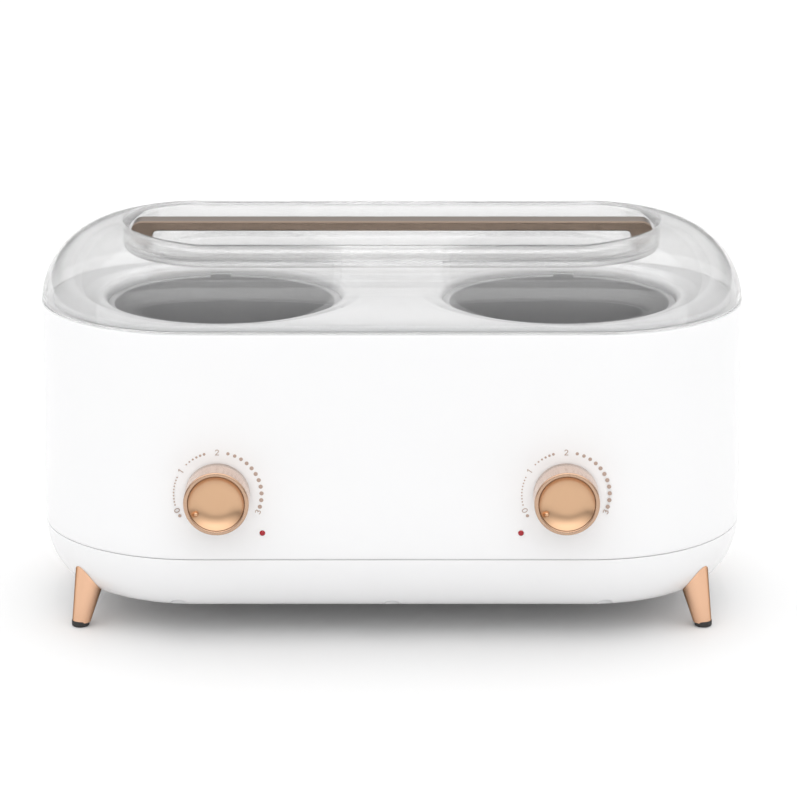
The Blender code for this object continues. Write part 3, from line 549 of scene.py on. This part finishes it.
def make_knob(side, sign):
    wall = BODY_Y - outer_radius(KNOB_Z)
    face = wall - KNOB_LOW.y
    shift = Vector((sign * KNOB_X, wall, KNOB_Z))
    knob = [(0, face - RECESS_DEEP), (RECESS_R, face - RECESS_DEEP), (RECESS_R, face - 0.0010)]
    knob += [(0.0142, face - 0.0004), (0.0145, face - 0.0001), (0.0150, face)]
    knob += arc(KNOB_R - 0.0009, face - 0.0009, 0.0009, 78, 0, 6)
    knob += [(KNOB_R, face - 0.004), (KNOB_R, face - 0.010), (KNOB_R, 0.0012), (KNOB_R - 0.0002, 0.0008),
             (KNOB_R - 0.0006, 0.0006), (HOLLOW_R, 0.0006), (HOLLOW_R, HOLLOW_TOP), (0, HOLLOW_TOP)]
    piece(f"knob_ring_{side}", turned(f"knob_{side}_mesh", knob, 96, FACE_FRONT), PALE_ROSE,
          f"dial_{side}", (f"knob_{side}",), shift)

    seat = face - RECESS_DEEP + GAP
    dish = []
    for step in range(25):
        share = step / 24
        dish.append((SPUN_R * share, seat + 0.0003 + 0.0038 * share ** 4))
    dish += [(SPUN_R, seat), (0, seat)]
    body = turned("dish", dish, 96, FACE_FRONT)
    pip = [(0, face - 0.0002), (0.0005, face - 0.0003), (0.0009, face - 0.0006), (0.0012, face - 0.0010),
           (0.0013, face - 0.0015), (0.0013, seat + 0.0003), (0, seat + 0.0003)]
    spot = Matrix.Translation((-PIP_REACH * math.sin(PIP_ANGLE), 0, PIP_REACH * math.cos(PIP_ANGLE)))
    pip = turned("pip", pip, 32, spot @ FACE_FRONT)
    mesh = merged(f"knob_face_{side}_mesh", [body, pip])
    piece(f"knob_dish_{side}", mesh, DISH, f"dial_{side}", (f"knob_face_{side}",), shift)


def make_lamp(side, sign):
    wall = outer_radius(LAMP_Z)
    shift = Vector((sign * LAMP_X, BODY_Y - wall, LAMP_Z))
    lens = [(0, 0.0010), (0.0004, 0.00095), (0.0008, 0.0008), (0.0012, 0.0005), (0.00145, 0.0001),
            (0.0015, -0.0004), (0.0015, -0.0029), (0.0032, -0.0029), (0.0032, -0.0044), (0, -0.0044)]
    piece(f"lamp_dome_{side}", turned(f"lamp_{side}_mesh", lens, 40, FACE_FRONT), RED, "base",
          (f"lamp_lens_{side}",), shift)


def disc(x, z, radius, steps=20):
    """A printed dot: a very thin disc that lies on the wall."""
    slope = math.atan((LOW_R - RIM_R) / (RIM_Z - ROUND_Z))
    profile = [(0, 0.00006), (radius * 0.9, 0.00006), (radius, 0.00003), (radius, -0.00002), (0, -0.00002)]
    tilt = Matrix.Rotation(slope, 4, "X")
    return turned("dot", profile, steps, Matrix.Translation(wall_point(x, z)) @ tilt @ FACE_FRONT)


def stroke(points, width, centre, turn):
    """A printed line through points, as a chain of thin rounded strips on the wall."""
    meshes = []
    for (ax, az), (bx, bz) in zip(points, points[1:]):
        count = max(1, round(math.hypot(bx - ax, bz - az) / (width * 0.35)))
        for step in range(count + 1):
            px = ax + (bx - ax) * step / count
            pz = az + (bz - az) * step / count
            x = centre[0] + px * math.cos(turn) - pz * math.sin(turn)
            z = centre[1] + px * math.sin(turn) + pz * math.cos(turn)
            meshes.append(disc(x, z, width / 2, 10))
    return meshes


DIGITS = {
    "0": [[(0.35 * math.sin(a), 0.5 * math.cos(a)) for a in [math.pi * k / 8 for k in range(17)]]],
    "1": [[(-0.2, 0.3), (0.05, 0.5), (0.05, -0.5)]],
    "2": [[(-0.3, 0.3), (-0.15, 0.47), (0.12, 0.48), (0.3, 0.3), (0.25, 0.08), (-0.3, -0.5), (0.33, -0.5)]],
    "3": [[(-0.28, 0.4), (0.0, 0.5), (0.26, 0.36), (0.22, 0.1), (-0.02, 0.02), (0.26, -0.1),
           (0.3, -0.35), (0.02, -0.5), (-0.3, -0.4)]],
}


def make_marks(side, sign):
    """Printed dots that grow clockwise round the dial, and the numbers of its four settings."""
    centre = (sign * KNOB_X, KNOB_Z - 0.0004)
    meshes = []

    def dot(degrees, radius):
        angle = math.radians(degrees)
        x = centre[0] + MARK_RING_R * math.cos(angle)
        meshes.append(disc(x, centre[1] + MARK_RING_R * math.sin(angle), radius))

    for index in range(11):
        dot(75.6 - 9.22 * index, min(0.00108, 0.00085 + 0.00005 * index))
    for index in range(6):
        dot(134.3 - 5.46 * index, 0.00040 + 0.00006 * index)
    for index in range(10):
        dot(194.0 - 4.24 * index, 0.00040)
    dot(210.0, 0.00085)
    for degrees, digit in ((202, "0"), (146, "1"), (90, "2"), (-24, "3")):
        angle = math.radians(degrees)
        spot = (centre[0] + MARK_RING_R * math.cos(angle), centre[1] + MARK_RING_R * math.sin(angle))
        for points in DIGITS[digit]:
            sized = [(0.0026 * px, 0.0026 * pz) for px, pz in points]
            meshes += stroke(sized, 0.00042, spot, angle - math.pi / 2 if degrees > 0 else angle + 1.57)
    mesh = merged(f"dial_marks_{side}_mesh", meshes)
    piece(f"dial_marks_{side}", mesh, INK, "base")


# ---------------------------------------------------------------- pots and cups
def make_pot(side, sign):
    wall = POT_WALL
    radius = POT_R
    corner = POT_CORNER
    profile = [(0, POT_BOTTOM + wall), (radius - corner, POT_BOTTOM + wall)]
    profile += arc(radius - corner, POT_BOTTOM + corner, corner - wall, -90, 0, 10)[1:]
    profile += [(radius - wall, 0.1100), (radius - wall, 0.1300), (radius - wall, POT_TOP - 0.0014)]
    profile += arc(radius - wall + 0.0010, POT_TOP - 0.0010, 0.0010, 180, 90, 6)
    profile += [(POT_RIM_R - 0.0006, POT_TOP), (POT_RIM_R - 0.0002, POT_TOP - 0.0001),
                (POT_RIM_R, POT_TOP - 0.0004), (POT_RIM_R, POT_TOP - wall), (radius, POT_TOP - wall)]
    profile += arc(radius - corner, POT_BOTTOM + corner, corner, 0, -90, 10)
    profile.append((0, POT_BOTTOM))
    bowl = turned("bowl", profile, 128)
    tab = box("tab", (-0.0053, 0.0545, POT_TOP - 0.0007), (0.0053, 0.0585, POT_TOP + 0.0013),
              Matrix.Rotation(-sign * math.radians(4.8), 4, "Z"))
    mesh = carve(bowl, "UNION", tab)
    piece(f"pot_bowl_{side}", mesh, POT, f"pot_{side}", (f"pot_{side}",),
          Vector((sign * POT_X, BODY_Y, 0)))

    bend = CUP_R - CUP_CORNER
    bend_z = CUP_BOTTOM + CUP_WALL + CUP_CORNER
    under = CUP_TOP - CUP_WALL
    cup = [(0, CUP_BOTTOM + CUP_WALL), (bend, CUP_BOTTOM + CUP_WALL)]
    cup += arc(bend, bend_z, CUP_CORNER, -90, 0, 8)[1:]
    cup += [(CUP_R, CUP_TOP - 0.0008), (CUP_R + 0.0002, CUP_TOP - 0.0002), (CUP_R + 0.0007, CUP_TOP),
            (CUP_FLANGE_R, CUP_TOP), (CUP_FLANGE_R, under), (CUP_R + CUP_WALL, under)]
    cup += arc(bend, bend_z, CUP_CORNER + CUP_WALL, 0, -90, 8)
    cup.append((0, CUP_BOTTOM))
    piece(f"cup_{side}", turned(f"cup_{side}_mesh", cup, 96), ALUMINIUM, "base",
          (f"heater_cup_{side}",), Vector((sign * POT_X, BODY_Y, 0)))


# ---------------------------------------------------------------- lid
def dome_height(x, y, shrink):
    d = math.hypot(max(0.0, abs(x) - PILL_HALF), y)
    over = max(0.0, d - (RIM_R - LID_ROUND))
    radius = LID_ROUND - shrink
    return LID_SPRING + math.sqrt(max(0.0, radius * radius - over * over))


def dome_rings(shrink, ridge_r, foot_z, steps):
    """Rings from the foot of the dome up to the edge of its recess."""
    radius = LID_ROUND - shrink
    inner = RIM_R - LID_ROUND
    start = math.asin((foot_z - LID_SPRING) / radius)
    foot_r = inner + radius * math.cos(start)
    feet = pill_outline(PILL_HALF, foot_r)
    edges = pill_outline(BASIN_HALF, ridge_r)
    rings = []
    for step in range(steps + 1):
        ring = []
        for (ax, ay), (bx, by) in zip(feet, edges):
            edge_d = math.hypot(max(0.0, abs(bx) - PILL_HALF), by)
            stop = math.acos(min(1.0, max(0.0, edge_d - inner) / radius))
            angle = start + (stop - start) * step / steps
            d = inner + radius * math.cos(angle)
            share = (foot_r - d) / (foot_r - max(edge_d, inner))
            if step == steps:
                share = 1.0
            x = ax + (bx - ax) * share
            y = ay + (by - ay) * share
            ring.append((x, y, dome_height(x, y, shrink) if step else foot_z))
        rings.append(ring)
    return rings


def basin_ring(radius, z):
    return [(x, y, z) for x, y in pill_outline(BASIN_HALF, radius)]


def make_lid():
    foot = LID_LOW.z
    lip = BASIN_R + 0.0022
    outer = dome_rings(0.0, lip + 0.0014, foot, 36)
    ridge = dome_rings(0.0, lip, foot, 1)[-1]
    before = outer[-1]
    below = [(x, y, z - 0.0012) for (x, y), (_, _, z) in zip(pill_outline(BASIN_HALF, lip - 0.0005), ridge)]
    for share in (0.25, 0.5, 0.75):
        ring = []
        for a, b, c in zip(before, ridge, below):
            ring.append(tuple((1 - share) ** 2 * p + 2 * share * (1 - share) * q + share ** 2 * r
                              for p, q, r in zip(a, b, c)))
        outer.append(ring)
    outer.append(below)
    flare = [(BASIN_R + 0.0010, 0.0379), (BASIN_R + 0.0005, 0.0371), (BASIN_R + 0.0001, 0.0361),
             (BASIN_R, 0.0350), (BASIN_R, 0.0330)]
    outer += [basin_ring(r, RIM_Z + z) for r, z in flare]
    outer += [basin_ring(r, z) for r, z in arc(BASIN_R - 0.0030, BASIN_FLOOR + 0.0030, 0.0030, 0, -90, 8)]

    under = BASIN_R + 0.0025
    inner = dome_rings(LID_WALL, under, foot, 30)
    tub = arc(under - 0.0030, BASIN_FLOOR - LID_WALL + 0.0030, 0.0030, 0, -90, 8)
    inner += [basin_ring(r, z) for r, z in [(under, RIM_Z + 0.0310), *tub]]
    mesh = loft("lid_mesh", [*reversed(outer), *inner], degrees=38)
    piece("lid_dome", mesh, CLEAR, "lid", ("lid_shell",))

    make_bar()
    for side, sign in SIDES:
        low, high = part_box(f"handle_screw_{side}")
        spot = (low + high) / 2
        head = low.z + 0.0022
        screw = [(0, high.z), (0.0010, high.z - 0.0002), (SCREW_R, high.z - 0.0008),
                 (SCREW_R, head), (0.0032, head), (0.0032, head - 0.0010),
                 (0.0029, head - 0.0016), (0.0022, head - 0.0021), (0.0012, head - 0.0022),
                 (0.0011, head - 0.0012), (0, head - 0.0012)]
        piece(f"bar_screw_{side}", turned(f"bar_screw_{side}_mesh", screw, 40), STEEL, "lid",
              (f"handle_screw_{side}",), Vector((spot.x, spot.y, 0)))


def make_bar():
    end = BAR_HIGH.x
    top = BAR_HIGH.z
    under = RIM_Z + 0.0350
    foot = BAR_LOW.z
    half = arc(end - 0.0060, top - 0.0060, 0.0060, 90, 0, 12)
    half += [(end, RIM_Z + 0.0325), (0.1306, BASIN_FLOOR + 0.0008), (0.1301, foot), (0.1225, foot)]
    half += arc(0.1195, under - 0.0030, 0.0030, 0, 90, 8)
    points = half + [(-x, z) for x, z in reversed(half)]
    width = 0.0060
    work = bmesh.new()
    front = [work.verts.new((x, -width, z)) for x, z in points]
    back = [work.verts.new((x, width, z)) for x, z in points]
    work.faces.new(front)
    work.faces.new(back)
    for i in range(len(points)):
        j = (i + 1) % len(points)
        work.faces.new((front[i], front[j], back[j], back[i]))
    bar = piece("lid_bar", finish_mesh(work, "bar_mesh", 35), BRONZE, "lid", ("lid_handle",))
    soft = bar.modifiers.new("Soft", "BEVEL")
    soft.width = 0.0026
    soft.segments = 4
    soft.limit_method = "ANGLE"
    soft.angle_limit = math.radians(40)
    soft.harden_normals = False
    return bar


# ---------------------------------------------------------------- back and underside
def make_gland():
    wall = outer_radius(GLAND_Z)
    out = GLAND_HIGH.y - BODY_Y - wall
    gland = [(0.0040, out), (0.0066, out), (0.0074, out - 0.0003), (0.0081, out - 0.0010),
             (0.0085, out - 0.0022), (0.0085, GAP), (0.0055, GAP), (0.0055, -WALL - GAP),
             (0.0062, -WALL - GAP), (0.0062, -0.0090), (0.0038, -0.0090), (0.0038, out - 0.0003)]
    piece("gland_collar", turned("gland_mesh", gland, 64, FACE_BACK), BLACK, "base",
          ("cord_gland",), Vector((0, BODY_Y + wall, GLAND_Z)))


def make_screws():
    for index in range(6):
        low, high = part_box(f"housing_screw_{index + 1}")
        spot = (low + high) / 2
        head = low.z
        seat = head + 0.0026
        profile = [(0, high.z), (0.0007, high.z - 0.0005), (0.0011, high.z - 0.0020),
                   (0.0011, seat + 0.0180), (SCREW_R, seat + 0.0175), (SCREW_R, seat),
                   (0.0036, seat), (0.0036, seat - 0.0010), (0.0033, seat - 0.0018),
                   (0.0026, seat - 0.0024), (0.0016, seat - 0.0026), (0, seat - 0.0026)]
        low_z = head - 0.001
        high_z = head + 0.0013
        cross = [box("cross", (-half_x, -half_y, low_z), (half_x, half_y, high_z))
                 for half_x, half_y in ((SCREW_R, CROSS_HALF), (CROSS_HALF, SCREW_R))]
        mesh = carve(turned("screw", profile, 40), "DIFFERENCE", *cross)
        piece(f"base_screw_{index + 1}", mesh, STEEL, "base", (f"housing_screw_{index + 1}",),
              Vector((spot.x, spot.y, 0)))


def dress_frame():
    """Materials for the CAD pieces that stay: they are inside the body."""
    looks = {"heater_band": MICA, "heat_shield": STEEL, "insulation_pad": FIBRE, "thermostat": BRASS,
             "dial_nut": STEEL, "dial_shaft": STEEL, "lamp_holder": BLACK, "lead": SLEEVE,
             "thermal_fuse": STEEL, "terminal_block": WHITE, "support_plate": STEEL, "leg_bolt": STEEL}
    for name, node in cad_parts.items():
        for start, look in looks.items():
            if name.startswith(start):
                node.data.materials.clear()
                node.data.materials.append(look)


make_housing()
make_tray()
make_deck()
make_legs()
for SIDE, SIGN in SIDES:
    make_knob(SIDE, SIGN)
    make_lamp(SIDE, SIGN)
    make_marks(SIDE, SIGN)
    make_pot(SIDE, SIGN)
make_lid()
make_gland()
make_screws()
dress_frame()


# ---------------------------------------------------------------- floor, light and camera
HORIZON = 0.20
SKY_LOW = 0.70
SKY_HIGH = 1.75
FRONT_GLOW = 0.20


def make_floor():
    work = bmesh.new()
    bmesh.ops.create_grid(work, x_segments=8, y_segments=8, size=8.0)
    ground = place("floor", finish_mesh(work, "floor_mesh", 35), FLOOR, Vector((0, 0, -0.0001)))


def make_world():
    """A soft surround: bright overhead, dim towards the horizon, with a soft glow from the front."""
    world = bpy.data.worlds.new("studio")
    world.use_nodes = True
    bpy.context.scene.world = world
    tree = world.node_tree
    background = tree.nodes["Background"]
    direction = tree.nodes.new("ShaderNodeTexCoord")
    split = tree.nodes.new("ShaderNodeSeparateXYZ")
    tree.links.new(direction.outputs["Generated"], split.inputs[0])

    def ramp(source, start, end, low, high):
        span = tree.nodes.new("ShaderNodeMapRange")
        span.interpolation_type = "SMOOTHSTEP"
        for name, value in (("From Min", start), ("From Max", end), ("To Min", low), ("To Max", high)):
            span.inputs[name].default_value = value
        tree.links.new(source, span.inputs["Value"])
        return span.outputs["Result"]

    overhead = ramp(split.outputs["Z"], 0.20, 0.80, SKY_LOW, SKY_HIGH)
    horizon = ramp(split.outputs["Z"], 0.10, 0.24, HORIZON - SKY_LOW, 0.0)
    aim = tree.nodes.new("ShaderNodeVectorMath")
    aim.operation = "DOT_PRODUCT"
    aim.inputs[1].default_value = Vector((0, -0.9, 0.45)).normalized()
    tree.links.new(direction.outputs["Generated"], aim.inputs[0])
    glow = ramp(aim.outputs["Value"], 0.60, 1.0, 0.0, FRONT_GLOW)
    total = overhead
    for part in (horizon, glow):
        add = tree.nodes.new("ShaderNodeMath")
        add.operation = "ADD"
        tree.links.new(total, add.inputs[0])
        tree.links.new(part, add.inputs[1])
        total = add.outputs["Value"]
    background.inputs["Color"].default_value = (1.0, 1.0, 1.0, 1)
    tree.links.new(total, background.inputs["Strength"])


def make_camera():
    data = bpy.data.cameras.new("camera")
    data.lens = 162.6
    data.sensor_width = 36.0
    data.clip_start = 0.05
    data.clip_end = 60.0
    camera = bpy.data.objects.new("camera", data)
    camera.location = (0.003416, BODY_Y - 1.7955, 0.6257)
    camera.rotation_euler = (math.radians(90 - 16.12), 0, 0)
    bpy.context.scene.collection.objects.link(camera)
    bpy.context.scene.camera = camera


make_floor()
make_world()
make_camera()
bpy.context.scene.view_settings.view_transform = "Standard"
